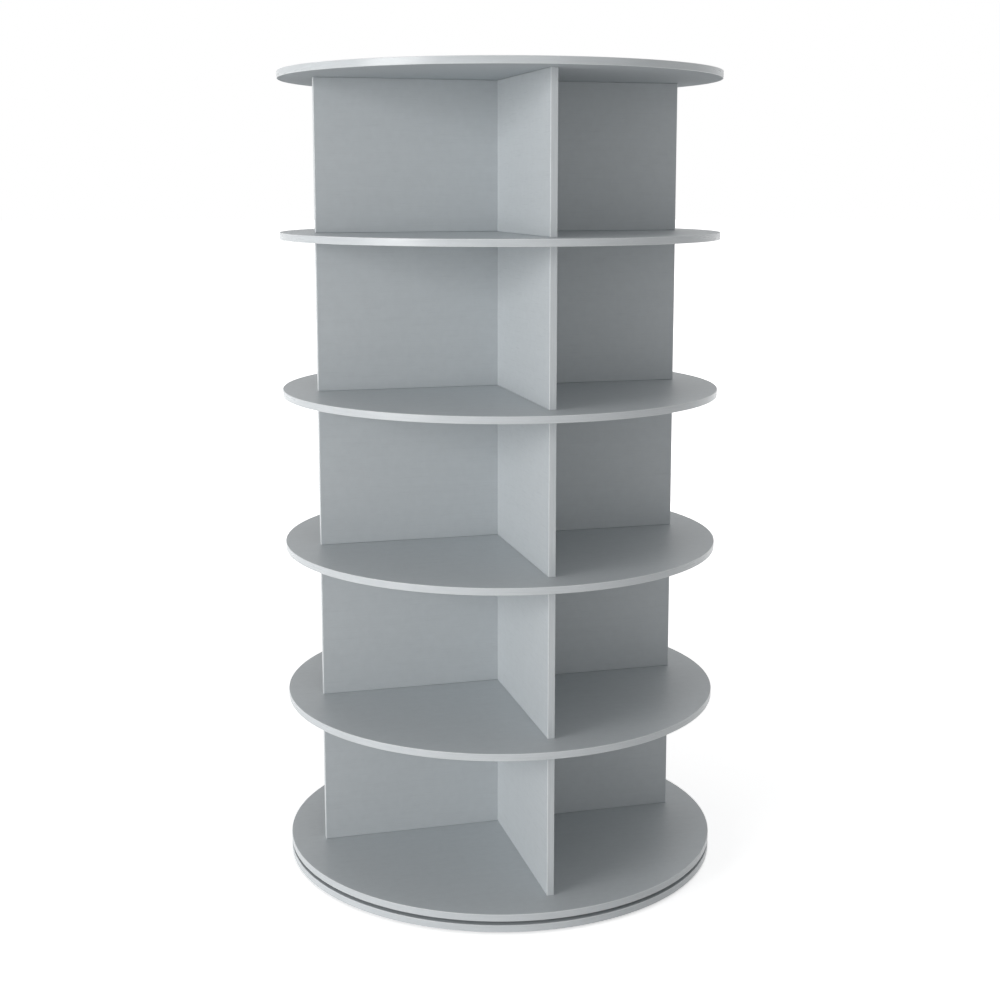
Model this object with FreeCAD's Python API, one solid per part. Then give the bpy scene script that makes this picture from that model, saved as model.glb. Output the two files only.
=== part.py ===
import FreeCAD, Part
import os

# Rotating shoe tower: round shelves of laminated board, a cross of upright dividers on each
# tier, and a ring bearing on which the whole tower turns above a fixed round base board.
# Millimetres. +Z is up, and the origin is on the floor, on the turning axis.
# The long dividers lie along X. The half dividers lie along Y, the front one towards -Y.

# Boards and dividers
tiers = 5
board_diameter = 600.0
board_thickness = 9.5
clear_height = 203.0          # between two boards of a tier
divider_thickness = 9.5
divider_span = 510.0          # over both end bands of a long divider

# Edge bands glued round the boards and on the dividers' free ends
band_thickness = 0.8
band_edge_radius = 0.4
glue_line = 0.05

# Rubber feet under the base board
foot_count = 6
foot_diameter = 30.0
foot_height = 3.5
foot_edge_chamfer = 0.8
foot_circle_radius = 250.0
foot_screw_recess = 0.6

# Ring bearing between the base board and the bottom shelf
bearing_gap = 5.0
ring_height = 4.5
ring_width = 19.0
ring_spacing = 1.2            # between the two rings, where the cage runs
ball_circle_radius = 130.0
ball_diameter = 3.0
ball_count = 36
groove_clearance = 0.05
cage_thickness = 0.6
cage_height = 4.2
cage_pocket_clearance = 0.1
ring_screw_count = 6
access_hole_diameter = 16.0

# Countersunk wood screws for the rings and the feet
screw_diameter = 3.5
screw_head_diameter = 7.0
screw_head_height = 1.9
screw_rim_height = 0.4
screw_tip_length = 2.0
screw_grip = 7.5              # length in the board
screw_recess_size = 1.0
screw_recess_reach = 1.8
screw_recess_depth = 1.1
screw_clearance = 0.05

# Cam locks that pull boards and dividers together
bolt_circle_radius = 200.0
cam_diameter = 12.0
cam_height = 8.0
cam_inset = 0.4               # of the cam's face below the divider's face
cam_setback = 24.0            # from a joint's face to the cam's centre
cam_clearance = 0.1
cam_slot_width = 1.4
cam_slot_length = 7.0
cam_slot_depth = 1.2
cross_joint_setback = 51.0    # of a cross joint above or below the middle of its tier
cap_diameter = 16.0
cap_thickness = 0.6
cap_chamfer = 0.3

# Steel bolts whose heads sit in the cams
bolt_diameter = 5.8
bolt_neck_diameter = 3.6
bolt_neck_length = 4.5
bolt_head_length = 4.0
bolt_head_chamfer = 0.8
bolt_clearance = 0.1
blind_depth = 6.5             # of a bolt or dowel in the outermost boards

# Wooden dowels that line up boards and dividers
dowel_circle_radius = 90.0
dowel_diameter = 6.0
dowel_reach = 14.0            # into a divider
dowel_chamfer = 0.8
dowel_clearance = 0.05

# Levels and radii that follow
board_radius = board_diameter / 2
core_radius = board_radius - band_thickness - glue_line
wing_reach = divider_span / 2
core_reach = wing_reach - band_thickness - glue_line
half_divider = divider_thickness / 2
base_level = foot_height
base_top = base_level + board_thickness
ball_level = base_top + bearing_gap / 2
bottom_shelf_level = base_top + bearing_gap
tier_pitch = clear_height + board_thickness

inner_ring_outer_radius = ball_circle_radius - ring_spacing / 2
inner_ring_inner_radius = inner_ring_outer_radius - ring_width
inner_ring_screw_radius = inner_ring_outer_radius - ring_width / 2
outer_ring_inner_radius = ball_circle_radius + ring_spacing / 2
outer_ring_outer_radius = outer_ring_inner_radius + ring_width
outer_ring_screw_radius = outer_ring_inner_radius + ring_width / 2

mm3_per_cm3 = 1000.0
full_turn = 360.0
half_turn = full_turn / 2
quarter_turn = full_turn / 4
cut_margin = 1.0              # by which cutters run past a face

# The four wings of a tier in turn from +X, with the side that holds its cams. Every side so
# chosen faces away from the front left, so that no cam shows from there.
cam_sides = {"right": 1, "rear": 1, "left": -1, "front": 1}

origin = FreeCAD.Vector(0, 0, 0)
x_axis = FreeCAD.Vector(1, 0, 0)
y_axis = FreeCAD.Vector(0, 1, 0)
z_axis = FreeCAD.Vector(0, 0, 1)

nodes = {}


def board_level(index):
    """Underside of a turning board, counted from the bottom shelf up."""
    return bottom_shelf_level + index * tier_pitch


def floor_level(tier):
    """Top of the board that a tier stands on."""
    return board_level(tier) + board_thickness


def moved(shape, x=0.0, y=0.0, z=0.0):
    copy = shape.copy()
    copy.translate(FreeCAD.Vector(x, y, z))
    return copy


def turned(shape, angle, axis=z_axis):
    copy = shape.copy()
    copy.rotate(origin, axis, angle)
    return copy


def cylinder(radius, height, level=0.0):
    return Part.makeCylinder(radius, height, FreeCAD.Vector(0, 0, level))


def ring(outer_radius, inner_radius, height, level=0.0):
    bore = cylinder(inner_radius, height + 2 * cut_margin, level - cut_margin)
    return cylinder(outer_radius, height, level).cut(bore)


def block(low, high):
    size = high - low
    return Part.makeBox(size.x, size.y, size.z, low)


def lathe(profile):
    """Turns a closed outline of (radius, height) points about the Z axis."""
    points = [FreeCAD.Vector(radius, 0, height) for radius, height in profile]
    face = Part.Face(Part.makePolygon(points + points[:1]))
    return face.revolve(origin, z_axis, full_turn)


def round_the_axis(shape, count, radius):
    """Copies of a shape made on the axis, spaced evenly on a circle, the first one on +X."""
    return [turned(moved(shape, x=radius), full_turn * step / count) for step in range(count)]


def on_wings(shape, radius):
    """Copies of a shape made on the axis, one on each wing's middle line."""
    return round_the_axis(shape, len(cam_sides), radius)


def cut_all(shape, cutters):
    return shape.cut(Part.makeCompound(cutters))


# ---- Screws, bolts, dowels and cams, each made on the Z axis ----

def screw_profile(head_length, length, spare):
    """Half outline of a countersunk screw whose head's face is at 0 and whose tip is below."""
    head = screw_head_diameter / 2 + spare
    shank = screw_diameter / 2 + spare
    return [
        (0, head_length),
        (head, head_length),
        (head, -screw_rim_height),
        (shank, -screw_head_height),
        (shank, -(length - screw_tip_length + spare)),
        (0, -(length + spare)),
    ]


def wood_screw(length):
    screw = lathe(screw_profile(0.0, length, 0.0))
    low = FreeCAD.Vector(-screw_recess_reach, -screw_recess_size / 2, -screw_recess_depth)
    high = FreeCAD.Vector(screw_recess_reach, screw_recess_size / 2, cut_margin)
    arm = block(low, high)
    return screw.cut(arm.fuse(turned(arm, quarter_turn)))


def screw_cutter(length, recess=0.0):
    """Room for a screw, with space above its head."""
    return lathe(screw_profile(recess + cut_margin, length, screw_clearance))


def bolt_end_profile(level):
    """Half outline of a bolt from the joint's face at a level up to the head in the cam."""
    shank = bolt_diameter / 2
    neck = bolt_neck_diameter / 2
    head_start = level + cam_setback - bolt_head_length / 2
    head_end = head_start + bolt_head_length
    return [
        (shank, head_start - bolt_neck_length),
        (neck, head_start - bolt_neck_length),
        (neck, head_start),
        (shank, head_start),
        (shank, head_end - bolt_head_chamfer),
        (shank - bolt_head_chamfer, head_end),
        (0, head_end),
    ]


def double_bolt(thickness):
    """Bolt with a head at each end, centred in a board or divider of that thickness."""
    upper = bolt_end_profile(thickness / 2)
    lower = [(radius, -height) for radius, height in reversed(upper)]
    return lathe(lower + upper)


def single_bolt():
    """Bolt screwed into a blind hole below 0, with its head above."""
    shank = bolt_diameter / 2
    return lathe([(0, -blind_depth), (shank, -blind_depth)] + bolt_end_profile(0.0))


def dowel(length, low):
    radius = dowel_diameter / 2
    high = low + length
    return lathe([
        (0, low),
        (radius - dowel_chamfer, low),
        (radius, low + dowel_chamfer),
        (radius, high - dowel_chamfer),
        (radius - dowel_chamfer, high),
        (0, high),
    ])


def cam_lock():
    """Cam with its axis along Y, its face at +Y, and the bolt's way in from +Z."""
    face = half_divider - cam_inset
    body = turned(cylinder(cam_diameter / 2, cam_height, -face), quarter_turn, x_axis)
    head_room = cylinder(
        bolt_diameter / 2 + bolt_clearance,
        cam_diameter,
        -bolt_head_length / 2 - bolt_clearance,
    )
    low = FreeCAD.Vector(-cam_slot_width / 2, face - cam_slot_depth, -cam_slot_length / 2)
    high = FreeCAD.Vector(cam_slot_width / 2, face + cut_margin, cam_slot_length / 2)
    slot = block(low, high)
    return cut_all(body, [head_room, slot, turned(slot, quarter_turn, y_axis)])


def cam_pocket():
    """Room for a cam, with the bolt's bore from the cam to the joint's face, towards +Z."""
    floor = half_divider - cam_inset - cam_height - cam_clearance
    depth = half_divider + cut_margin - floor
    pocket = cylinder(cam_diameter / 2 + cam_clearance, depth, -(half_divider + cut_margin))
    bore = cylinder(bolt_diameter / 2 + bolt_clearance, cam_setback + cut_margin)
    return turned(pocket, quarter_turn, x_axis).fuse(bore)


def cam_cap():
    """Thin press-on cap over a cam, flat on the divider's +Y face."""
    radius = cap_diameter / 2
    disc = lathe([
        (0, 0),
        (radius, 0),
        (radius, cap_thickness - cap_chamfer),
        (radius - cap_chamfer, cap_thickness),
        (0, cap_thickness),
    ])
    return moved(turned(disc, -quarter_turn, x_axis), y=half_divider)


def at_cams(shape, tier):
    """Places a cam's shape at each of the cams of a tier, keyed by wing."""
    middle = floor_level(tier) + clear_height / 2
    edge = clear_height / 2 - cam_setback
    inner = half_divider + cam_setback
    upwards = shape
    downwards = turned(shape, half_turn, y_axis)
    inwards = turned(shape, -quarter_turn, y_axis)
    placed = {}
    for quarter, (wing, side) in enumerate(cam_sides.items()):
        copies = [moved(upwards, bolt_circle_radius, 0, middle + edge)]
        copies.append(moved(downwards, bolt_circle_radius, 0, middle - edge))
        if wing in ("front", "rear"):
            copies.append(moved(inwards, inner, 0, middle + cross_joint_setback))
            copies.append(moved(inwards, inner, 0, middle - cross_joint_setback))
        if side < 0:
            copies = [copy.mirror(origin, y_axis) for copy in copies]
        placed[wing] = [turned(copy, quarter * quarter_turn) for copy in copies]
    return placed


# ---- Round boards and their edge bands ----

def rim_band(level):
    band = ring(board_radius, board_radius - band_thickness, board_thickness, level)
    outer = [
        edge for edge in band.Edges
        if isinstance(edge.Curve, Part.Circle) and edge.Curve.Radius > core_radius + band_thickness
    ]
    return band.makeFillet(band_edge_radius, outer)


def round_board(level, cutters):
    return cut_all(cylinder(core_radius, board_thickness, level), cutters)


bolt_hole_radius = bolt_diameter / 2 + bolt_clearance
dowel_hole_radius = dowel_diameter / 2 + dowel_clearance
through_height = board_thickness + 2 * cut_margin
blind_height = blind_depth + cut_margin


def joint_holes(height, level):
    """Holes for the bolt and the dowel of each wing."""
    bolts = on_wings(cylinder(bolt_hole_radius, height, level), bolt_circle_radius)
    dowels = on_wings(cylinder(dowel_hole_radius, height, level), dowel_circle_radius)
    return bolts + dowels


# The fixed base board rests on rubber feet and carries the bearing's inner ring.
foot_screw_length = foot_height - foot_screw_recess + screw_grip
foot_screw = moved(turned(wood_screw(foot_screw_length), half_turn, x_axis), z=foot_screw_recess)
foot_screw_room = turned(screw_cutter(foot_screw_length, foot_screw_recess), half_turn, x_axis)
foot_screw_room = moved(foot_screw_room, z=foot_screw_recess)

ring_screw_length = ring_height + screw_grip
inner_screw = moved(wood_screw(ring_screw_length), z=base_top + ring_height)
inner_screw_room = moved(screw_cutter(ring_screw_length), z=base_top + ring_height)
outer_ring_level = bottom_shelf_level - ring_height
outer_screw = moved(turned(wood_screw(ring_screw_length), half_turn, x_axis), z=outer_ring_level)
outer_screw_room = turned(screw_cutter(ring_screw_length), half_turn, x_axis)
outer_screw_room = moved(outer_screw_room, z=outer_ring_level)

foot_screws = round_the_axis(foot_screw, foot_count, foot_circle_radius)
foot_screw_rooms = round_the_axis(foot_screw_room, foot_count, foot_circle_radius)
inner_screws = round_the_axis(inner_screw, ring_screw_count, inner_ring_screw_radius)
inner_screw_rooms = round_the_axis(inner_screw_room, ring_screw_count, inner_ring_screw_radius)
outer_screws = round_the_axis(outer_screw, ring_screw_count, outer_ring_screw_radius)
outer_screw_rooms = round_the_axis(outer_screw_room, ring_screw_count, outer_ring_screw_radius)

# The outer ring's screws are driven through this hole as the tower is turned.
access_hole = cylinder(access_hole_diameter / 2, through_height, base_level - cut_margin)
access_hole = moved(access_hole, x=outer_ring_screw_radius)

base_holes = foot_screw_rooms + inner_screw_rooms + [access_hole]
nodes["base_board"] = [round_board(base_level, base_holes)]
nodes["base_rim_band"] = [rim_band(base_level)]

foot_radius = foot_diameter / 2
foot = lathe([
    (0, 0),
    (foot_radius - foot_edge_chamfer, 0),
    (foot_radius, foot_edge_chamfer),
    (foot_radius, foot_height),
    (0, foot_height),
])
foot = foot.cut(foot_screw_room)
nodes["base_feet"] = round_the_axis(foot, foot_count, foot_circle_radius)
nodes["foot_screws"] = foot_screws


# ---- Ring bearing ----

groove = Part.makeTorus(
    ball_circle_radius, ball_diameter / 2 + groove_clearance, FreeCAD.Vector(0, 0, ball_level)
)
inner_ring = ring(inner_ring_outer_radius, inner_ring_inner_radius, ring_height, base_top)
outer_ring = ring(
    outer_ring_outer_radius, outer_ring_inner_radius, ring_height, outer_ring_level
)
nodes["bearing_inner_ring"] = [cut_all(inner_ring.cut(groove), inner_screw_rooms)]
nodes["inner_ring_screws"] = inner_screws
nodes["bearing_outer_ring"] = [cut_all(outer_ring.cut(groove), outer_screw_rooms)]
nodes["outer_ring_screws"] = outer_screws

ball = Part.makeSphere(ball_diameter / 2, FreeCAD.Vector(0, 0, ball_level))
nodes["bearing_balls"] = round_the_axis(ball, ball_count, ball_circle_radius)

# Each ball runs in a round pocket through the cage. The cage's seam is turned to lie between
# two pockets.
pocket = cylinder(ball_diameter / 2 + cage_pocket_clearance, ball_diameter, -ball_diameter / 2)
pocket = moved(turned(pocket, quarter_turn, y_axis), z=ball_level)
cage = ring(
    ball_circle_radius + cage_thickness / 2,
    ball_circle_radius - cage_thickness / 2,
    cage_height,
    ball_level - cage_height / 2,
)
cage = turned(cage, half_turn / ball_count)
nodes["ball_cage"] = [cut_all(cage, round_the_axis(pocket, ball_count, ball_circle_radius))]


# ---- Turning boards, from the bottom shelf up to the top board ----

board_names = ["bottom_shelf"] + [f"shelf_{number}" for number in range(1, tiers)] + ["top_board"]

for index, name in enumerate(board_names):
    level = board_level(index)
    if name == "bottom_shelf":
        cutters = joint_holes(blind_height, level + board_thickness - blind_depth)
        cutters += outer_screw_rooms
    elif name == "top_board":
        cutters = joint_holes(blind_height, level - cut_margin)
    else:
        cutters = joint_holes(through_height, level - cut_margin)
    nodes[name] = [round_board(level, cutters)]
    nodes[f"{name}_rim_band"] = [rim_band(level)]


# ---- Upright dividers of each tier ----

def dowel_rooms(level):
    """Holes for the dowels in the lower and upper edges of a tier's dividers."""
    depth = dowel_reach + cut_margin
    low = cylinder(dowel_hole_radius, depth, level - cut_margin)
    high = cylinder(dowel_hole_radius, depth, level + clear_height - dowel_reach)
    return on_wings(low, dowel_circle_radius) + on_wings(high, dowel_circle_radius)


def along_y(shape):
    return turned(shape, quarter_turn, x_axis)


cross_span = divider_thickness + 2 * dowel_reach
cross_dowel = along_y(dowel(cross_span, -cross_span / 2))
cross_dowel_room = along_y(cylinder(dowel_hole_radius, cross_span, -cross_span / 2))
cross_bolt = along_y(double_bolt(divider_thickness))
cross_bolt_room = along_y(
    cylinder(bolt_hole_radius, divider_thickness + 2 * cut_margin, -half_divider - cut_margin)
)
end_band = block(
    FreeCAD.Vector(wing_reach - band_thickness, -half_divider, 0),
    FreeCAD.Vector(wing_reach, half_divider, clear_height),
)
end_band_corners = [
    edge for edge in end_band.Edges
    if edge.BoundBox.XMin > wing_reach - band_thickness / 2
    and edge.BoundBox.ZLength > clear_height / 2
]
end_band = end_band.makeFillet(band_edge_radius, end_band_corners)

for name in ("divider_end_bands", "cam_locks", "cam_caps", "cross_bolts", "cross_dowels"):
    nodes[name] = []

for tier in range(tiers):
    floor = floor_level(tier)
    middle = floor + clear_height / 2
    cross_levels = (middle - cross_joint_setback, middle + cross_joint_setback)
    pockets = at_cams(cam_pocket(), tier)
    dowels = dowel_rooms(floor)
    crossing = [moved(cross_bolt_room, z=level) for level in cross_levels]
    crossing.append(moved(cross_dowel_room, z=middle))

    through = block(
        FreeCAD.Vector(-core_reach, -half_divider, floor),
        FreeCAD.Vector(core_reach, half_divider, floor + clear_height),
    )
    half = block(
        FreeCAD.Vector(half_divider, -half_divider, floor),
        FreeCAD.Vector(core_reach, half_divider, floor + clear_height),
    )
    rear = turned(half, quarter_turn)
    front = turned(half, -quarter_turn)
    label = f"tier_{tier + 1}"
    through_cutters = pockets["left"] + pockets["right"] + dowels + crossing
    nodes[f"{label}_long_divider"] = [cut_all(through, through_cutters)]
    nodes[f"{label}_front_divider"] = [cut_all(front, pockets["front"] + dowels + crossing)]
    nodes[f"{label}_rear_divider"] = [cut_all(rear, pockets["rear"] + dowels + crossing)]

    nodes["divider_end_bands"] += on_wings(moved(end_band, z=floor), 0.0)
    nodes["cam_locks"] += sum(at_cams(cam_lock(), tier).values(), [])
    nodes["cam_caps"] += sum(at_cams(cam_cap(), tier).values(), [])
    nodes["cross_bolts"] += [moved(cross_bolt, z=level) for level in cross_levels]
    nodes["cross_dowels"].append(moved(cross_dowel, z=middle))


# ---- Bolts and dowels between boards and dividers ----

shelf_span = board_thickness + 2 * dowel_reach
end_span = blind_depth + dowel_reach
shelf_bolt = double_bolt(board_thickness)
shelf_dowel = dowel(shelf_span, -shelf_span / 2)
end_bolt = single_bolt()
end_dowel = dowel(end_span, -blind_depth)

nodes["shelf_bolts"] = []
nodes["shelf_dowels"] = []
for index in range(1, tiers):
    middle = board_level(index) + board_thickness / 2
    nodes["shelf_bolts"] += on_wings(moved(shelf_bolt, z=middle), bolt_circle_radius)
    nodes["shelf_dowels"] += on_wings(moved(shelf_dowel, z=middle), dowel_circle_radius)

nodes["end_bolts"] = []
nodes["end_dowels"] = []
bottom_joint = floor_level(0)
top_joint = board_level(tiers)
for joint_level, roll in ((bottom_joint, 0.0), (top_joint, half_turn)):
    bolt_here = moved(turned(end_bolt, roll, x_axis), z=joint_level)
    dowel_here = moved(turned(end_dowel, roll, x_axis), z=joint_level)
    nodes["end_bolts"] += on_wings(bolt_here, bolt_circle_radius)
    nodes["end_dowels"] += on_wings(dowel_here, dowel_circle_radius)


# ---- One STEP file per node ----

os.makedirs("parts", exist_ok=True)
for name, solids in nodes.items():
    shape = solids[0] if len(solids) == 1 else Part.makeCompound(solids)
    shape.exportStep(f"parts/{name}.step")
    volume = shape.Volume / mm3_per_cm3
    print(f"{name}: {len(shape.Solids)} solids, {volume:.1f} cm3, valid {shape.isValid()}")
print(f"{len(nodes)} nodes, {board_level(tiers) + board_thickness:.1f} mm high")
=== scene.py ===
import math

import bmesh
import bpy
from mathutils import Matrix, Vector


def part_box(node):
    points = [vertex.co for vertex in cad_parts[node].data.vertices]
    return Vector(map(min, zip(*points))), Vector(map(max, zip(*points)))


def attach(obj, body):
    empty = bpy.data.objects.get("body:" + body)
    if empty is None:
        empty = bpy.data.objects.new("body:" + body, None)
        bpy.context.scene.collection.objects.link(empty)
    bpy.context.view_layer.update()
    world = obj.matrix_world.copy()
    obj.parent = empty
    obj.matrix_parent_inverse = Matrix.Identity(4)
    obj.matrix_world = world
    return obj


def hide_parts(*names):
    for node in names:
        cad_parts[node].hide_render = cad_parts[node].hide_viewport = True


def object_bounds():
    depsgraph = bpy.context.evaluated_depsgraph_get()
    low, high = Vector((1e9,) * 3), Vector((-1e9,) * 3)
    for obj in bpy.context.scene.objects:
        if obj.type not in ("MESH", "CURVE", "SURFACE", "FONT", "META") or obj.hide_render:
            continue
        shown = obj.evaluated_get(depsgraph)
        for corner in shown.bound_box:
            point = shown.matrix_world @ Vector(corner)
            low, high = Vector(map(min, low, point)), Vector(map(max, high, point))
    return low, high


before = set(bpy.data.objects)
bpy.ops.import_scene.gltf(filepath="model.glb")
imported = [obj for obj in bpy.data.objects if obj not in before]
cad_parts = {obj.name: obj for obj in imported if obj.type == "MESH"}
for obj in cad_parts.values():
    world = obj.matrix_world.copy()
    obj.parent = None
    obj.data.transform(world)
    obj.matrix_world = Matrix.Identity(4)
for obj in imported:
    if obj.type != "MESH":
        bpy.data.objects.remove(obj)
cad_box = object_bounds()


# ---- Camera ----
# It stands to the left of the tower's front and a little lower than the top board, so that the
# shelves below it show their tops and the top board shows its underside.

camera_distance = 2.145                  # from the turning axis, over the floor
camera_height = 0.9415
camera_azimuth = math.radians(14.9)      # to the left of straight ahead
camera_dip = math.radians(8.65)
image_side = 1000                        # pixels
focal_length = 1550                      # pixels
lens_shift = -0.08                       # upwards, as a share of the image's side

bpy.ops.object.select_all(action="DESELECT")
bpy.ops.object.camera_add(
    location=(
        -camera_distance * math.sin(camera_azimuth),
        -camera_distance * math.cos(camera_azimuth),
        camera_height,
    ),
    rotation=(math.pi / 2 - camera_dip, 0, -camera_azimuth),
)
camera = bpy.context.object
camera.data.lens = camera.data.sensor_width * focal_length / image_side
camera.data.shift_y = lens_shift
bpy.context.scene.camera = camera
bpy.context.scene.view_settings.view_transform = "Standard"


# ---- Studio ----
# A plain white floor that runs out into a white surround, a large soft lamp on the left, three
# weaker ones, and an even light from all round. The floor is pure white away from the shadow.

surround_strength = 0.38
floor_radius = 40.0
floor_sides = 64
floor_grey = (0.90, 0.90, 0.90, 1.0)
floor_roughness = 0.9
floor_lift = 0.6                         # the floor's own light near the tower, of 1 for white
fade_start = 0.5                         # of its rise to white, from the turning axis
fade_end = 2.6
white = (1.0, 1.0, 1.0, 1.0)
lamp_distance = 8.0                      # from the turning axis
lamp_side = 4.0
lamps = {                                # azimuth to the left of the front, height, watts, in gloss
    "key_lamp": (math.radians(67), 1.45, 432.0, True),
    "front_lamp": (math.radians(0), 1.9, 26.0, True),
    "back_lamp": (math.radians(-135), 1.0, 130.0, False),
}
top_lamp_power = 55.0


def seen_directly(nodes, links):
    """1 for camera, glossy and transmission rays, and 0 for the light that falls on things."""
    path = nodes.new("ShaderNodeLightPath")
    sharp = nodes.new("ShaderNodeMath")
    sharp.operation = "MAXIMUM"
    links.new(path.outputs["Is Glossy Ray"], sharp.inputs[0])
    links.new(path.outputs["Is Transmission Ray"], sharp.inputs[1])
    either = nodes.new("ShaderNodeMath")
    either.operation = "MAXIMUM"
    links.new(path.outputs["Is Camera Ray"], either.inputs[0])
    links.new(sharp.outputs[0], either.inputs[1])
    return either.outputs[0]


def white_surround():
    """White where it is seen, and a weaker light on the tower."""
    world = bpy.data.worlds.new("white_surround")
    world.use_nodes = True
    nodes, links = world.node_tree.nodes, world.node_tree.links
    background = nodes["Background"]
    strength = nodes.new("ShaderNodeMapRange")
    strength.inputs["To Min"].default_value = surround_strength
    strength.inputs["To Max"].default_value = 1.0
    background.inputs["Color"].default_value = white
    links.new(seen_directly(nodes, links), strength.inputs["Value"])
    links.new(strength.outputs["Result"], background.inputs["Strength"])
    return world


def floor_paint():
    """Pale grey that is lifted to white away from the tower, and keeps its shadow beside it."""
    paint = bpy.data.materials.new("white_floor")
    paint.use_nodes = True
    nodes, links = paint.node_tree.nodes, paint.node_tree.links
    surface = nodes["Principled BSDF"]
    surface.inputs["Base Color"].default_value = floor_grey
    surface.inputs["Roughness"].default_value = floor_roughness
    surface.inputs["Specular IOR Level"].default_value = 0.0
    surface.inputs["Emission Color"].default_value = white
    place = nodes.new("ShaderNodeTexCoord")
    reach = nodes.new("ShaderNodeVectorMath")
    reach.operation = "LENGTH"
    fade = nodes.new("ShaderNodeMapRange")
    fade.interpolation_type = "SMOOTHSTEP"
    fade.inputs["From Min"].default_value = fade_start
    fade.inputs["From Max"].default_value = fade_end
    fade.inputs["To Min"].default_value = floor_lift
    fade.inputs["To Max"].default_value = 1.0
    lift = nodes.new("ShaderNodeMath")
    lift.operation = "MULTIPLY"
    links.new(place.outputs["Object"], reach.inputs[0])
    links.new(reach.outputs["Value"], fade.inputs["Value"])
    links.new(fade.outputs["Result"], lift.inputs[0])
    links.new(seen_directly(nodes, links), lift.inputs[1])
    links.new(lift.outputs[0], surface.inputs["Emission Strength"])
    return paint


def soft_lamp(name, place, power, in_gloss=True):
    """A square lamp that faces the tower's middle."""
    middle = Vector((0, 0, (cad_box[0].z + cad_box[1].z) / 2))
    turn = (middle - place).to_track_quat("-Z", "Y").to_euler()
    bpy.ops.object.light_add(type="AREA", location=place, rotation=turn)
    lamp = bpy.context.object
    lamp.name = name
    lamp.visible_camera = False
    lamp.visible_glossy = in_gloss
    lamp.data.shape = "SQUARE"
    lamp.data.size = lamp_side
    lamp.data.energy = power


bpy.context.scene.world = white_surround()
bpy.ops.object.select_all(action="DESELECT")
bpy.ops.mesh.primitive_circle_add(vertices=floor_sides, radius=floor_radius, fill_type="NGON")
floor = bpy.context.object
floor.name = "studio_floor"
floor.data.materials.append(floor_paint())
for name, (azimuth, height, power, in_gloss) in lamps.items():
    x = -lamp_distance * math.sin(azimuth)
    y = -lamp_distance * math.cos(azimuth)
    soft_lamp(name, Vector((x, y, height)), power, in_gloss)
soft_lamp("top_lamp", Vector((0, 0, lamp_distance)), top_lamp_power)


# ---- Round boards ----
# Seven discs of chipboard, routed round, with light grey melamine laminate pressed on the top
# and a duller backing sheet underneath. Holes for bolts, dowels and screws show raw chipboard.

rim_steps = 240
board_arris = 0.00015
arris_steps = 3
hole_steps = 24
drill_margin = 0.001                     # by which a drill runs past a face
smooth_angle = math.radians(35)          # the sharpest bend that is shaded as a curve
up = Vector((0, 0, 1))
wing_directions = {
    "right": Vector((1, 0, 0)),
    "rear": Vector((0, 1, 0)),
    "left": Vector((-1, 0, 0)),
    "front": Vector((0, -1, 0)),
}
band_joint_gap = 0.00005                 # glue line between a board and its edge band
band_wall = 0.0008

bolt_circle = 0.200
bolt_hole = 0.003
dowel_circle = 0.090
dowel_hole = 0.00305
blind_hole_depth = 0.0065
foot_circle = 0.250
inner_screw_circle = 0.1199
outer_screw_circle = 0.1401
screw_hole = 0.0018
screw_depth = 0.0075
screws_per_circle = 6
access_hole = 0.008

laminate_grey = (0.536, 0.569, 0.588, 1.0)
laminate_grain = (0.490, 0.521, 0.540, 1.0)
pore_share = 0.50                        # of the way from laminate_grey to laminate_grain
cloud_share = 0.38
band_share = 0.22
pore_depth = 0.00003
along_grain = 0.035                      # the pattern's scale along its bands
chipboard_pale = (0.52, 0.40, 0.27, 1.0)
chipboard_dark = (0.24, 0.16, 0.09, 1.0)
chips_per_metre = 700.0
chip_flatness = 2.5                      # of a chip, its length to its thickness
chip_relief = 0.0003
chipboard_rough = (0.75, 0.95)


def select_only(piece):
    """Leaves one piece active and selected, and nothing else."""
    bpy.ops.object.select_all(action="DESELECT")
    piece.select_set(True)
    bpy.context.view_layer.objects.active = piece


def settle(piece, name):
    """Names a new primitive and puts its place, turn and size into its mesh."""
    select_only(piece)
    bpy.ops.object.transform_apply(location=True, rotation=True, scale=True)
    piece.name = name
    piece.data.name = name
    return piece


def ease_edges(piece, width):
    """Rounds every sharp edge of a piece by a small radius."""
    select_only(piece)
    bevel = piece.modifiers.new("eased", "BEVEL")
    bevel.width = width
    bevel.segments = arris_steps
    bevel.limit_method = "ANGLE"
    bpy.ops.object.modifier_apply(modifier=bevel.name)


def drill(piece, holes):
    """Cuts round holes, each given as its radius, start and end, with raw chipboard walls."""
    bpy.ops.object.select_all(action="DESELECT")
    bits = []
    for radius, start, end in holes:
        way = end - start
        bpy.ops.mesh.primitive_cylinder_add(
            vertices=hole_steps,
            radius=radius,
            depth=way.length,
            location=(start + end) / 2,
            rotation=way.to_track_quat("Z", "Y").to_euler(),
        )
        bits.append(bpy.context.object)
    for bit in bits:
        bit.select_set(True)
    bpy.ops.object.join()
    bit = bpy.context.object
    bit.data.materials.append(chipboard)
    select_only(piece)
    cut = piece.modifiers.new("drilled", "BOOLEAN")
    cut.operation = "DIFFERENCE"
    cut.solver = "EXACT"
    cut.use_self = True
    cut.material_mode = "TRANSFER"
    cut.object = bit
    bpy.ops.object.modifier_apply(modifier=cut.name)
    bpy.data.objects.remove(bit)


def smooth(piece):
    """Smooth shading on the rounded edges, with the flat faces kept flat."""
    select_only(piece)
    bpy.ops.object.shade_smooth_by_angle(angle=smooth_angle)
    weighted = piece.modifiers.new("flat_faces", "WEIGHTED_NORMAL")
    weighted.keep_sharp = True
    bpy.ops.object.modifier_apply(modifier=weighted.name)


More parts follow.
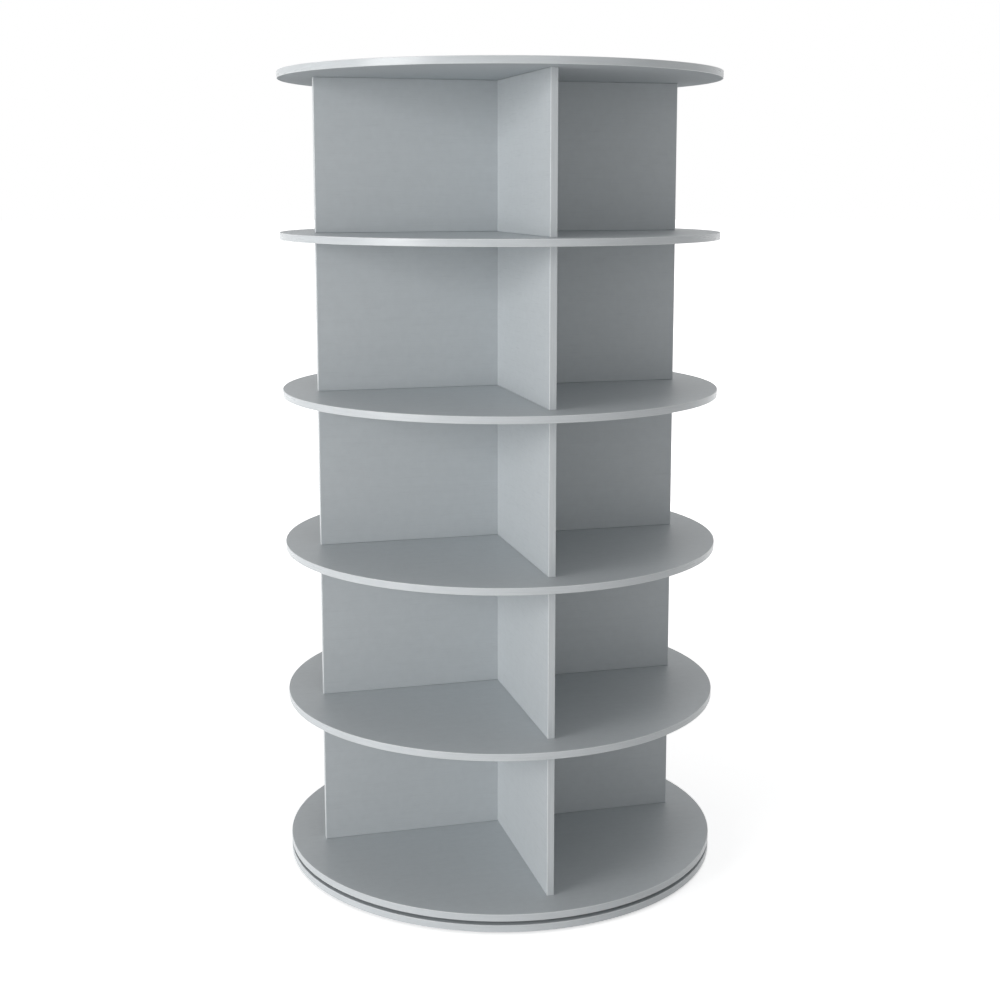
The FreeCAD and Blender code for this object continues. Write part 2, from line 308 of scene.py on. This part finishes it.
def placed_copy(piece, name, transform):
    """A copy of a piece with its own mesh, moved or turned."""
    mesh = piece.data.copy()
    mesh.name = name
    mesh.transform(transform)
    copy = bpy.data.objects.new(name, mesh)
    bpy.context.scene.collection.objects.link(copy)
    return copy


def copy_up(piece, name, rise):
    """A copy of a piece with its own mesh, moved up."""
    return placed_copy(piece, name, Matrix.Translation(up * rise))


def stands_for(piece, node, body):
    """The piece rides on a body in the place of a CAD node, which is hidden."""
    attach(piece, body)
    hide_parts(node)


def noise_group(name, noises):
    """A shader node group that puts out noises, each with its own density and spread from 0 to 1.

    A noise is given as its detail, its roughness, and the levels that become 0 and 1.
    """
    group = bpy.data.node_groups.new(name, "ShaderNodeTree")
    sockets = group.interface
    sockets.new_socket("Vector", in_out="INPUT", socket_type="NodeSocketVector")
    for output in noises:
        sockets.new_socket(f"{output} per Metre", in_out="INPUT", socket_type="NodeSocketFloat")
        sockets.new_socket(output, in_out="OUTPUT", socket_type="NodeSocketFloat")
    nodes, links = group.nodes, group.links
    start = nodes.new("NodeGroupInput")
    end = nodes.new("NodeGroupOutput")
    for output, (detail, roughness, low, high) in noises.items():
        noise = nodes.new("ShaderNodeTexNoise")
        noise.inputs["Detail"].default_value = detail
        noise.inputs["Roughness"].default_value = roughness
        spread = nodes.new("ShaderNodeMapRange")
        spread.inputs["From Min"].default_value = low
        spread.inputs["From Max"].default_value = high
        links.new(start.outputs["Vector"], noise.inputs["Vector"])
        links.new(start.outputs[f"{output} per Metre"], noise.inputs["Scale"])
        links.new(noise.outputs["Fac"], spread.inputs["Value"])
        links.new(spread.outputs["Result"], end.inputs[output])
    return group


wood_grain = noise_group("wood_grain", {
    "Pores": (2.0, 0.55, 0.56, 0.74),    # scattered and fine
    "Bands": (4.0, 0.55, 0.30, 0.70),    # wide and soft
})
mottling = noise_group("mottling", {
    "Clouds": (3.0, 0.50, 0.30, 0.70),   # a soft uneven tone
    "Specks": (1.0, 0.50, 0.30, 0.70),   # an even speckle
})


def new_material(name):
    material = bpy.data.materials.new(name)
    material.use_nodes = True
    return material, material.node_tree.nodes, material.node_tree.links


def object_place(nodes, links, scale=(1, 1, 1)):
    """Object coordinates, scaled per axis."""
    place = nodes.new("ShaderNodeTexCoord")
    mapping = nodes.new("ShaderNodeMapping")
    mapping.inputs["Scale"].default_value = scale
    links.new(place.outputs["Object"], mapping.inputs["Vector"])
    return mapping.outputs["Vector"]


def pattern(nodes, links, group, vector, densities):
    """A noise group in a material, with its own density for each output, per metre."""
    placed = nodes.new("ShaderNodeGroup")
    placed.node_tree = group
    links.new(vector, placed.inputs["Vector"])
    for output, density in densities.items():
        placed.inputs[f"{output} per Metre"].default_value = density
    return placed


def mixed_colour(nodes, links, share, first, second):
    """From the first colour to the second as the share goes from 0 to 1."""
    mix = nodes.new("ShaderNodeMix")
    mix.data_type = "RGBA"
    mix.inputs["A"].default_value = first
    mix.inputs["B"].default_value = second
    links.new(share, mix.inputs["Factor"])
    return mix.outputs["Result"]


def ranged(nodes, links, value, low, high):
    """A value from 0 to 1, spread from low to high."""
    spread = nodes.new("ShaderNodeMapRange")
    spread.inputs["To Min"].default_value = low
    spread.inputs["To Max"].default_value = high
    links.new(value, spread.inputs["Value"])
    return spread.outputs["Result"]


def with_share(nodes, links, rest, value, share):
    """A share of a value on top of the rest."""
    total = nodes.new("ShaderNodeMath")
    total.operation = "MULTIPLY_ADD"
    total.inputs[1].default_value = share
    links.new(value, total.inputs[0])
    links.new(rest, total.inputs[2])
    return total.outputs[0]


def bumped(nodes, links, height, surface, depth):
    """Relief on a surface, as deep as depth where the height goes from 0 to 1."""
    bump = nodes.new("ShaderNodeBump")
    bump.inputs["Distance"].default_value = depth
    links.new(height, bump.inputs["Height"])
    links.new(bump.outputs["Normal"], surface.inputs["Normal"])


def laminate(name, scale, gloss=0.5, rough=(0.44, 0.56)):
    """Satin melamine, faintly clouded, with pores and bands drawn out where the scale is small."""
    material, nodes, links = new_material(name)
    surface = nodes["Principled BSDF"]
    vector = object_place(nodes, links, scale=scale)
    grain = pattern(nodes, links, wood_grain, vector, {"Pores": 900.0, "Bands": 150.0})
    cloud = pattern(nodes, links, mottling, object_place(nodes, links), {"Clouds": 110.0})
    pores = grain.outputs["Pores"]
    tone = ranged(nodes, links, grain.outputs["Bands"], 0.0, band_share)
    tone = with_share(nodes, links, tone, cloud.outputs["Clouds"], cloud_share)
    tone = with_share(nodes, links, tone, pores, pore_share)
    colour = mixed_colour(nodes, links, tone, laminate_grey, laminate_grain)
    links.new(colour, surface.inputs["Base Color"])
    surface.inputs["Specular IOR Level"].default_value = gloss
    links.new(ranged(nodes, links, pores, *rough), surface.inputs["Roughness"])
    bumped(nodes, links, ranged(nodes, links, pores, 1.0, 0.0), surface, pore_depth)
    return material


def raw_chipboard():
    """Pressed wood chips, seen only in drilled holes."""
    material, nodes, links = new_material("raw_chipboard")
    surface = nodes["Principled BSDF"]
    chips = nodes.new("ShaderNodeTexVoronoi")
    chips.inputs["Scale"].default_value = chips_per_metre
    vector = object_place(nodes, links, scale=(1.0, 1.0, chip_flatness))
    links.new(vector, chips.inputs["Vector"])
    tone = nodes.new("ShaderNodeSeparateColor")
    links.new(chips.outputs["Color"], tone.inputs["Color"])
    colour = mixed_colour(nodes, links, tone.outputs["Red"], chipboard_pale, chipboard_dark)
    links.new(colour, surface.inputs["Base Color"])
    rough = ranged(nodes, links, tone.outputs["Red"], *chipboard_rough)
    links.new(rough, surface.inputs["Roughness"])
    bumped(nodes, links, chips.outputs["Distance"], surface, chip_relief)
    return material


laminate_along_x = laminate("laminate_along_x", (along_grain, 1.0, 1.0))
laminate_along_y = laminate("laminate_along_y", (1.0, along_grain, 1.0))
laminate_backing = laminate(
    "laminate_backing", (along_grain, 1.0, 1.0), gloss=0.12, rough=(0.78, 0.86)
)
chipboard = raw_chipboard()


def round_board(name, low, high):
    """A laminated disc from one level up to another, a glue line smaller than its edge band."""
    rim_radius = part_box("base_rim_band")[1].x
    bpy.ops.object.select_all(action="DESELECT")
    bpy.ops.mesh.primitive_cylinder_add(
        vertices=rim_steps,
        radius=rim_radius - band_wall - band_joint_gap,
        depth=high - low,
        end_fill_type="NGON",
        location=(0, 0, (low + high) / 2),
    )
    board = settle(bpy.context.object, name)
    board.data.materials.append(laminate_along_x)
    board.data.materials.append(laminate_backing)
    for face in board.data.polygons:
        if face.normal.z < -0.5:
            face.material_index = 1
    ease_edges(board, board_arris)
    return board


def on_circle(count, radius):
    """Points spaced evenly on a circle about the turning axis, the first one on +X."""
    steps = [2 * math.pi * step / count for step in range(count)]
    return [Vector((radius * math.cos(turn), radius * math.sin(turn), 0)) for turn in steps]


def upright_hole(radius, place, low, high):
    """An upright hole at a place in the plan, from one level up to another."""
    return radius, place + up * low, place + up * high


def joint_holes(low, high):
    """Holes for a bolt and a dowel under or over each wing."""
    return [
        upright_hole(radius, direction * circle, low, high)
        for direction in wing_directions.values()
        for radius, circle in ((bolt_hole, bolt_circle), (dowel_hole, dowel_circle))
    ]


def screw_holes(circle, low, high):
    """Pilot holes for a ring of screws."""
    places = on_circle(screws_per_circle, circle)
    return [upright_hole(screw_hole, place, low, high) for place in places]


def levels(node):
    """The undermost and topmost level of a CAD node."""
    low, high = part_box(node)
    return low.z, high.z


base_low, base_high = levels("base_board")
base_board = round_board("base_board_laminated", base_low, base_high)
base_holes = screw_holes(foot_circle, base_low - drill_margin, base_low + screw_depth)
base_holes += screw_holes(inner_screw_circle, base_high - screw_depth, base_high + drill_margin)
access = Vector((outer_screw_circle, 0, 0))
base_holes.append(
    upright_hole(access_hole, access, base_low - drill_margin, base_high + drill_margin)
)
drill(base_board, base_holes)
smooth(base_board)
stands_for(base_board, "base_board", "base")

bottom_low, bottom_high = levels("bottom_shelf")
bottom_shelf = round_board("bottom_shelf_laminated", bottom_low, bottom_high)
bottom_holes = joint_holes(bottom_high - blind_hole_depth, bottom_high + drill_margin)
bottom_holes += screw_holes(
    outer_screw_circle, bottom_low - drill_margin, bottom_low + screw_depth
)
drill(bottom_shelf, bottom_holes)
smooth(bottom_shelf)
stands_for(bottom_shelf, "bottom_shelf", "tower")

top_low, top_high = levels("top_board")
top_board = round_board("top_board_laminated", top_low, top_high)
drill(top_board, joint_holes(top_low - drill_margin, top_low + blind_hole_depth))
smooth(top_board)
stands_for(top_board, "top_board", "tower")

shelf_low, shelf_high = levels("shelf_1")
shelf = round_board("shelf_1_laminated", shelf_low, shelf_high)
drill(shelf, joint_holes(shelf_low - drill_margin, shelf_high + drill_margin))
smooth(shelf)
stands_for(shelf, "shelf_1", "tower")
for name in ("shelf_2", "shelf_3", "shelf_4"):
    copy = copy_up(shelf, f"{name}_laminated", levels(name)[0] - shelf_low)
    stands_for(copy, name, "tower")


# ---- Rim bands ----
# A strip of light grey plastic edging, 0.8 mm thick, is glued round every board and its two ends
# are butted at the back right. Its arrises are trimmed round with an edge cutter and made paler:
# partly the whitening the cutter leaves, partly a painted highlight along each arris.

band_arris = 0.00075
band_arris_steps = 4
band_joint_azimuth = math.radians(60)    # of the butt joint, from +X
band_joint_open = 0.00015                # between the strip's two ends
scraped_highlight_slope = (0.1, 0.99)              # of an arris face that gets the paler edging, how far it looks sideways, of 1
edging_gloss = 0.40
edging_relief = 0.00002
along_band = 0.06                        # the streaks' scale along the strip
edging_grey = (0.618, 0.648, 0.666, 1.0)
edging_streak = (0.560, 0.590, 0.607, 1.0)
# Paler tones for the rounded arrises: partly the whitening an edge cutter leaves, partly a painted
# highlight along each arris.
scraped_highlight_pale = (0.720, 0.742, 0.756, 1.0)
scraped_highlight_grey = (0.640, 0.668, 0.684, 1.0)


def edging(name, scale, first=edging_grey, second=edging_streak, rough=(0.25, 0.33)):
    """Smooth plastic edging with fine streaks along it, where the scale is small."""
    material, nodes, links = new_material(name)
    surface = nodes["Principled BSDF"]
    vector = object_place(nodes, links, scale=scale)
    streaks = pattern(nodes, links, wood_grain, vector, {"Pores": 1400.0, "Bands": 330.0})
    colour = mixed_colour(nodes, links, streaks.outputs["Bands"], first, second)
    links.new(colour, surface.inputs["Base Color"])
    surface.inputs["Specular IOR Level"].default_value = edging_gloss
    links.new(ranged(nodes, links, streaks.outputs["Bands"], *rough), surface.inputs["Roughness"])
    bumped(nodes, links, streaks.outputs["Pores"], surface, edging_relief)
    return material


rim_edging = edging("rim_edging", (along_band, along_band, 1.0))
# The arrises' edging, paler in part as a painted highlight.
scraped_highlight_edging = edging(
    "scraped_highlight_edging", (1.0, 1.0, 1.0), scraped_highlight_pale, scraped_highlight_grey, rough=(0.34, 0.46)
)


def scrape_and_highlight(band, across):
    """Makes the rounded arrises on both sides of a band paler, as an edge cutter leaves them and as
    a painted highlight along each arris.
    """
    band.data.materials.append(scraped_highlight_edging)
    least, most = scraped_highlight_slope
    for face in band.data.polygons:
        if least < abs(face.normal.dot(across)) < most:
            face.material_index = len(band.data.materials) - 1


def rim_band(name, low, high):
    """The strip's section, spun once round the board and short of its own start."""
    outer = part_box("base_rim_band")[1].x
    middle = outer - band_wall / 2
    bpy.ops.object.select_all(action="DESELECT")
    bpy.ops.mesh.primitive_plane_add(
        size=1,
        location=(
            middle * math.cos(band_joint_azimuth),
            middle * math.sin(band_joint_azimuth),
            (low + high) / 2,
        ),
        rotation=(math.pi / 2, 0, band_joint_azimuth),
    )
    bpy.context.object.scale = (band_wall, high - low, 1)
    band = settle(bpy.context.object, name)
    bpy.ops.object.mode_set(mode="EDIT")
    mesh = bmesh.from_edit_mesh(band.data)
    bpy.ops.mesh.select_mode(type="VERT")
    bpy.ops.mesh.select_all(action="DESELECT")
    for vertex in mesh.verts:
        vertex.select = vertex.co.xy.length > middle
    bmesh.update_edit_mesh(band.data)
    bpy.ops.mesh.bevel(offset=band_arris, segments=band_arris_steps, affect="VERTICES")
    bpy.ops.mesh.select_all(action="SELECT")
    bpy.ops.mesh.spin(
        steps=rim_steps,
        angle=2 * math.pi - band_joint_open / outer,
        center=(0, 0, 0),
        axis=(0, 0, 1),
    )
    bpy.ops.mesh.select_all(action="SELECT")
    bpy.ops.mesh.normals_make_consistent(inside=False)
    bpy.ops.object.mode_set(mode="OBJECT")
    band.data.materials.append(rim_edging)
    # The rounded arrises get the paler edging, which is partly a painted highlight.
    scrape_and_highlight(band, up)
    smooth(band)
    return band


base_band = rim_band("base_rim_band_trimmed", *levels("base_rim_band"))
stands_for(base_band, "base_rim_band", "base")
for name in ("bottom_shelf", "shelf_1", "shelf_2", "shelf_3", "shelf_4", "top_board"):
    rise = levels(f"{name}_rim_band")[0] - levels("base_rim_band")[0]
    band = copy_up(base_band, f"{name}_rim_band_trimmed", rise)
    stands_for(band, f"{name}_rim_band", "tower")


# ---- Rubber feet ----
# Six moulded black rubber feet under the base board, with a rounded lower edge, two grooves
# round the sole and a countersunk hole for the screw that holds each one.

foot_steps = 48
foot_outline = (                         # radius and height, from the hole's top and back to it
    (0.0018, 0.0035),
    (0.0150, 0.0035),
    (0.0150, 0.0008),
    (0.0142, 0.0000),
    (0.0120, 0.0000),
    (0.0116, 0.0004),
    (0.0106, 0.0004),
    (0.0102, 0.0000),
    (0.0078, 0.0000),
    (0.0074, 0.0004),
    (0.0064, 0.0004),
    (0.0060, 0.0000),
    (0.0036, 0.0000),
    (0.0036, 0.0010),
    (0.0018, 0.0025),
    (0.0018, 0.0035),
)
foot_arris = 0.0002
merge_distance = 0.000005
rubber_black = (0.030, 0.030, 0.032, 1.0)
rubber_dusty = (0.060, 0.060, 0.062, 1.0)


def mottled(name, first, second, rough, pits, clouds=120.0, specks=4000.0, metal=0.0):
    """A cast, moulded or plated surface: two close tones, uneven gloss and fine pits."""
    material, nodes, links = new_material(name)
    surface = nodes["Principled BSDF"]
    surface.inputs["Metallic"].default_value = metal
    vector = object_place(nodes, links)
    texture = pattern(nodes, links, mottling, vector, {"Clouds": clouds, "Specks": specks})
    colour = mixed_colour(nodes, links, texture.outputs["Clouds"], first, second)
    links.new(colour, surface.inputs["Base Color"])
    links.new(ranged(nodes, links, texture.outputs["Clouds"], *rough), surface.inputs["Roughness"])
    bumped(nodes, links, texture.outputs["Specks"], surface, pits)
    return material


def drawn_out(name, steps, outline):
    """A ring about Z drawn out along an outline of radius and height that ends at its start."""
    radius, height = outline[0]
    bpy.ops.object.select_all(action="DESELECT")
    bpy.ops.mesh.primitive_circle_add(vertices=steps, radius=radius, location=(0, 0, height))
    piece = settle(bpy.context.object, name)
    bpy.ops.object.mode_set(mode="EDIT")
    bpy.ops.mesh.select_all(action="SELECT")
    for next_radius, next_height in outline[1:]:
        rise = next_height - height
        share = next_radius / radius
        bpy.ops.mesh.extrude_edges_move(TRANSFORM_OT_translate={"value": (0, 0, rise)})
        bpy.ops.transform.resize(value=(share, share, 1), center_override=(0, 0, 0))
        radius, height = next_radius, next_height
    bpy.ops.mesh.select_all(action="SELECT")
    bpy.ops.mesh.remove_doubles(threshold=merge_distance)
    bpy.ops.mesh.normals_make_consistent(inside=False)
    bpy.ops.object.mode_set(mode="OBJECT")
    return piece


def repeated(piece, transforms):
    """Joins copies of a piece, one for each transform, into one piece under its name."""
    name = piece.name
    copies = [placed_copy(piece, name, transform) for transform in transforms]
    bpy.data.objects.remove(piece)
    select_only(copies[0])
    for copy in copies:
        copy.select_set(True)
    bpy.ops.object.join()
    joined = bpy.context.object
    joined.name = name
    joined.data.name = name
    return joined


foot = drawn_out("base_feet_moulded", foot_steps, foot_outline)
ease_edges(foot, foot_arris)
foot.data.materials.append(
    mottled("foot_rubber_black", rubber_black, rubber_dusty, rough=(0.70, 0.88), pits=0.00003)
)
foot_places = on_circle(screws_per_circle, foot_circle)
feet = repeated(foot, [Matrix.Translation(place) for place in foot_places])
smooth(feet)
stands_for(feet, "base_feet", "base")


# ---- Ring bearing and screws ----
# Two flat rings turned from aluminium with a ball groove in each, steel balls in a nylon cage
# between them, and zinc-plated countersunk screws that hold the rings and the feet.

turned_bright = (0.80, 0.81, 0.82, 1.0)
turned_dull = (0.66, 0.67, 0.69, 1.0)
turned_lines = 2600.0                    # per metre of the ring's width
turned_depth = 0.00002
turned_rough = (0.24, 0.42)
zinc_bright = (0.70, 0.71, 0.70, 1.0)
zinc_blue = (0.56, 0.59, 0.63, 1.0)
ball_bright = (0.74, 0.74, 0.75, 1.0)
ball_oiled = (0.62, 0.62, 0.62, 1.0)
nylon_pale = (0.78, 0.76, 0.69, 1.0)
nylon_yellow = (0.72, 0.69, 0.60, 1.0)


def turned_aluminium():
    """Aluminium with fine turned lines that run round the ring."""
    material, nodes, links = new_material("ring_aluminium_turned")
    surface = nodes["Principled BSDF"]
    surface.inputs["Metallic"].default_value = 1.0
    place = nodes.new("ShaderNodeTexCoord")
    flat = nodes.new("ShaderNodeVectorMath")
    flat.operation = "MULTIPLY"
    flat.inputs[1].default_value = (1, 1, 0)
    reach = nodes.new("ShaderNodeVectorMath")
    reach.operation = "LENGTH"
    lines = nodes.new("ShaderNodeTexNoise")
    lines.noise_dimensions = "1D"
    lines.inputs["Scale"].default_value = turned_lines
    lines.inputs["Detail"].default_value = 2.0
    links.new(place.outputs["Object"], flat.inputs[0])
    links.new(flat.outputs["Vector"], reach.inputs[0])
    links.new(reach.outputs["Value"], lines.inputs["W"])
    colour = mixed_colour(nodes, links, lines.outputs["Fac"], turned_bright, turned_dull)
    links.new(colour, surface.inputs["Base Color"])
    rough = ranged(nodes, links, lines.outputs["Fac"], *turned_rough)
    links.new(rough, surface.inputs["Roughness"])
    bumped(nodes, links, lines.outputs["Fac"], surface, turned_depth)
    return material


def finish_nodes(material, *names):
    """Gives CAD nodes of the right shape their finish."""
    for name in names:
        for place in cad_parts[name].material_slots:
            place.material = material


zinc_plate = mottled(
    "zinc_plated_steel", zinc_bright, zinc_blue, rough=(0.22, 0.40), pits=0.00001,
    clouds=350.0, metal=1.0,
)
polished_steel = mottled(
    "ball_steel_polished", ball_bright, ball_oiled, rough=(0.06, 0.16), pits=0.000002,
    clouds=500.0, metal=1.0,
)
nylon = mottled(
    "cage_nylon_moulded", nylon_pale, nylon_yellow, rough=(0.42, 0.55), pits=0.00002,
    clouds=200.0,
)
finish_nodes(turned_aluminium(), "bearing_inner_ring", "bearing_outer_ring")
finish_nodes(polished_steel, "bearing_balls")
finish_nodes(nylon, "ball_cage")
finish_nodes(zinc_plate, "foot_screws", "inner_ring_screws", "outer_ring_screws")


# ---- Upright dividers ----
# Each tier has one long divider and two half dividers butted to its faces, sawn from the same
# laminated chipboard. Cams are let into one face and pull them to the boards and to each other.

tiers = 5
divider_arris = 0.00015                  # along the ends, under the end bands
joint_arris = 0.0008                     # along the edges that meet the boards
sawn_arris_steps = 2
cam_pocket = 0.0061
cam_pocket_depth = 0.0085
cam_setback = 0.024                      # of a cam's centre from the joint
cross_setback = 0.051                    # of a cross joint from the middle of its tier
dowel_depth = 0.014
cam_faces = {
    "right": Vector((0, 1, 0)),
    "rear": Vector((-1, 0, 0)),
    "left": Vector((0, 1, 0)),
    "front": Vector((1, 0, 0)),
}
divider_wings = {
    "long_divider": ("left", "right"),
    "front_divider": ("front",),
    "rear_divider": ("rear",),
}
half_wings = divider_wings["front_divider"] + divider_wings["rear_divider"]
first_low, first_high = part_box("tier_1_long_divider")
half_wall = (first_high.y - first_low.y) / 2     # half of a divider's thickness
tier_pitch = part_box("tier_2_long_divider")[0].z - first_low.z
tier_middle = (first_low.z + first_high.z) / 2


def cams_of(wing):
    """The cams of a wing of the first tier, each as its centre and the way to its joint."""
    out = wing_directions[wing]
    cams = []
    for level, way in ((first_low.z, -up), (first_high.z, up)):
        cams.append((out * bolt_circle + up * level - way * cam_setback, way))
    if wing in half_wings:
        for level in (tier_middle - cross_setback, tier_middle + cross_setback):
            cams.append((out * (half_wall + cam_setback) + up * level, -out))
    return cams


def wing_holes(wing):
    """Cam pockets, bolt holes and dowel holes of one wing of the first tier."""
    out = wing_directions[wing]
    face = cam_faces[wing]
    holes = []
    for centre, way in cams_of(wing):
        open_end = centre + face * (half_wall + drill_margin)
        holes.append((cam_pocket, open_end, centre + face * (half_wall - cam_pocket_depth)))
        holes.append((bolt_hole, centre + way * (cam_setback + drill_margin), centre))
    for level, way in ((first_low.z, up), (first_high.z, -up)):
        joint = out * dowel_circle + up * level
        holes.append((dowel_hole, joint - way * drill_margin, joint + way * dowel_depth))
    if wing in half_wings:
        joint = out * half_wall + up * tier_middle
        holes.append((dowel_hole, joint - out * drill_margin, joint + out * dowel_depth))
    return holes


def cross_holes():
    """Holes straight through the long divider, where the half dividers meet it."""
    reach = Vector((0, half_wall + drill_margin, 0))
    holes = []
    for radius, level in (
        (bolt_hole, tier_middle - cross_setback),
        (dowel_hole, tier_middle),
        (bolt_hole, tier_middle + cross_setback),
    ):
        holes.append((radius, up * level - reach, up * level + reach))
    return holes


def edges_where(piece, chosen):
    """In edit mode, selects the edges whose two ends fit a test."""
    mesh = bmesh.from_edit_mesh(piece.data)
    bpy.ops.mesh.select_mode(type="EDGE")
    bpy.ops.mesh.select_all(action="DESELECT")
    for edge in mesh.edges:
        start, end = (vertex.co for vertex in edge.verts)
        edge.select = chosen(start, end)
    bmesh.update_edit_mesh(piece.data)


def divider(name, low, high, material):
    """A sawn rectangle of laminated board, eased along the edges that meet the boards."""
    bpy.ops.object.select_all(action="DESELECT")
    bpy.ops.mesh.primitive_cube_add(size=1, location=(low + high) / 2)
    bpy.context.object.scale = high - low
    piece = settle(bpy.context.object, name)
    piece.data.materials.append(material)
    bpy.ops.object.mode_set(mode="EDIT")
    half_height = (high.z - low.z) / 2
    edges_where(piece, lambda start, end: abs(start.z - end.z) < half_height)
    bpy.ops.mesh.bevel(offset=joint_arris, segments=sawn_arris_steps, affect="EDGES")
    edges_where(piece, lambda start, end: abs(start.z - end.z) > half_height)
    bpy.ops.mesh.bevel(offset=divider_arris, segments=sawn_arris_steps, affect="EDGES")
    bpy.ops.object.mode_set(mode="OBJECT")
    return piece


for part, wings in divider_wings.items():
    low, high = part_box(f"tier_1_{part}")
    grain = laminate_along_x if part == "long_divider" else laminate_along_y
    first = divider(f"tier_1_{part}_laminated", low, high, grain)
    holes = sum((wing_holes(wing) for wing in wings), [])
    if part == "long_divider":
        holes += cross_holes()
    drill(first, holes)
    smooth(first)
    for tier in range(1, tiers):
        piece = copy_up(first, f"tier_{tier + 1}_{part}_laminated", tier * tier_pitch)
        stands_for(piece, f"tier_{tier + 1}_{part}", "tower")
    stands_for(first, f"tier_1_{part}", "tower")


# ---- End bands ----
# The free end of every wing is edged with a short length of the same edging, standing upright
# between the boards and trimmed round along both corners.

end_band_trim = 0.0003                   # by which each end stops short of a board
end_edging = edging("end_edging", (1.0, 1.0, along_band), rough=(0.32, 0.42))


def end_band():
    """The strip on the end of the first tier's right wing."""
    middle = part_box("divider_end_bands")[1].x - band_wall / 2
    length = first_high.z - first_low.z - 2 * end_band_trim
    bpy.ops.object.select_all(action="DESELECT")
    bpy.ops.mesh.primitive_cube_add(size=1, location=(middle, 0, tier_middle))
    bpy.context.object.scale = (band_wall, 2 * half_wall, length)
    band = settle(bpy.context.object, "end_bands_trimmed")
    bpy.ops.object.mode_set(mode="EDIT")
    edges_where(band, lambda start, end: min(start.x, end.x) > middle and start.z != end.z)
    bpy.ops.mesh.bevel(offset=band_arris, segments=band_arris_steps, affect="EDGES")
    bpy.ops.object.mode_set(mode="OBJECT")
    band.data.materials.append(end_edging)
    # The rounded corners get the paler edging, which is partly a painted highlight.
    scrape_and_highlight(band, Vector((0, 1, 0)))
    return band


def from_first_wing():
    """Moves from the first tier's right wing to every wing of every tier."""
    quarters = range(len(wing_directions))
    rises = [Matrix.Translation(up * (tier * tier_pitch)) for tier in range(tiers)]
    turns = [Matrix.Rotation(quarter * math.pi / 2, 4, "Z") for quarter in quarters]
    return [rise @ turn for rise in rises for turn in turns]


end_bands = repeated(end_band(), from_first_wing())
smooth(end_bands)
stands_for(end_bands, "divider_end_bands", "tower")


# ---- Cam locks, bolts and dowels ----
# Cams of die-cast zinc sit in the dividers and turn against the heads of plated steel bolts,
# which pull the joints together. Plain beech dowels beside them keep the joints in line.

cast_pale = (0.58, 0.58, 0.57, 1.0)
cast_dark = (0.40, 0.41, 0.42, 1.0)
beech_pale = (0.66, 0.47, 0.30, 1.0)
beech_fleck = (0.47, 0.30, 0.17, 1.0)
beech_relief = 0.00004
beech_rough = (0.60, 0.75)
along_beech = 0.08                       # the flecks' scale along the dowel


def beech(name, scale):
    """Sanded beech with flecks drawn out where the scale is small."""
    material, nodes, links = new_material(name)
    surface = nodes["Principled BSDF"]
    vector = object_place(nodes, links, scale=scale)
    grain = pattern(nodes, links, wood_grain, vector, {"Pores": 2200.0, "Bands": 500.0})
    colour = mixed_colour(nodes, links, grain.outputs["Bands"], beech_pale, beech_fleck)
    links.new(colour, surface.inputs["Base Color"])
    rough = ranged(nodes, links, grain.outputs["Bands"], *beech_rough)
    links.new(rough, surface.inputs["Roughness"])
    bumped(nodes, links, grain.outputs["Pores"], surface, beech_relief)
    return material


die_cast = mottled(
    "cam_zinc_cast", cast_pale, cast_dark, rough=(0.40, 0.62), pits=0.00004,
    clouds=260.0, specks=2500.0, metal=0.9,
)
finish_nodes(die_cast, "cam_locks")
finish_nodes(zinc_plate, "shelf_bolts", "end_bolts", "cross_bolts")
beech_upright = beech("dowel_beech_upright", (1.0, 1.0, along_beech))
beech_level = beech("dowel_beech_level", (1.0, along_beech, 1.0))
finish_nodes(beech_upright, "shelf_dowels", "end_dowels")
finish_nodes(beech_level, "cross_dowels")


# ---- Cover caps ----
# A thin round cap of moulded grey plastic is pressed over each cam, flat on the divider's face,
# with a raised rim and a shallow dished middle.

cap_steps = 36
cap_radius = 0.008
cap_height = 0.0006
cap_arris = 0.0003
cap_arris_steps = 2
cap_rim = 0.0009                         # width of the raised rim inside the arris
cap_slope = 0.0005                       # width of the step down to the dished middle
cap_dish = 0.00015
cap_grey = (0.660, 0.680, 0.690, 1.0)
cap_cloud = (0.620, 0.640, 0.652, 1.0)


def cap_places():
    """Moves from a cap that lies at the origin to one over each cam of every tier."""
    places = []
    for wing, face in cam_faces.items():
        turn = face.to_track_quat("Z", "Y").to_matrix().to_4x4()
        for centre, _ in cams_of(wing):
            for tier in range(tiers):
                rise = up * (tier * tier_pitch)
                places.append(Matrix.Translation(centre + face * half_wall + rise) @ turn)
    return places


bpy.ops.object.select_all(action="DESELECT")
bpy.ops.mesh.primitive_cylinder_add(
    vertices=cap_steps,
    radius=cap_radius,
    depth=cap_height,
    end_fill_type="NGON",
    location=(0, 0, cap_height / 2),
)
cap = settle(bpy.context.object, "cam_caps_moulded")
bpy.ops.object.mode_set(mode="EDIT")
edges_where(cap, lambda start, end: min(start.z, end.z) > cap_height / 2)
bpy.ops.mesh.bevel(offset=cap_arris, segments=cap_arris_steps, affect="EDGES")
mesh = bmesh.from_edit_mesh(cap.data)
bpy.ops.mesh.select_mode(type="FACE")
bpy.ops.mesh.select_all(action="DESELECT")
for face in mesh.faces:
    face.select = face.normal.z > 0.99
bmesh.update_edit_mesh(cap.data)
bpy.ops.mesh.inset(thickness=cap_rim)
bpy.ops.mesh.inset(thickness=cap_slope, depth=-cap_dish)
bpy.ops.object.mode_set(mode="OBJECT")
cap.data.materials.append(
    mottled("cap_plastic_grey", cap_grey, cap_cloud, rough=(0.34, 0.44), pits=0.00001)
)
caps = repeated(cap, cap_places())
smooth(caps)
stands_for(caps, "cam_caps", "tower")
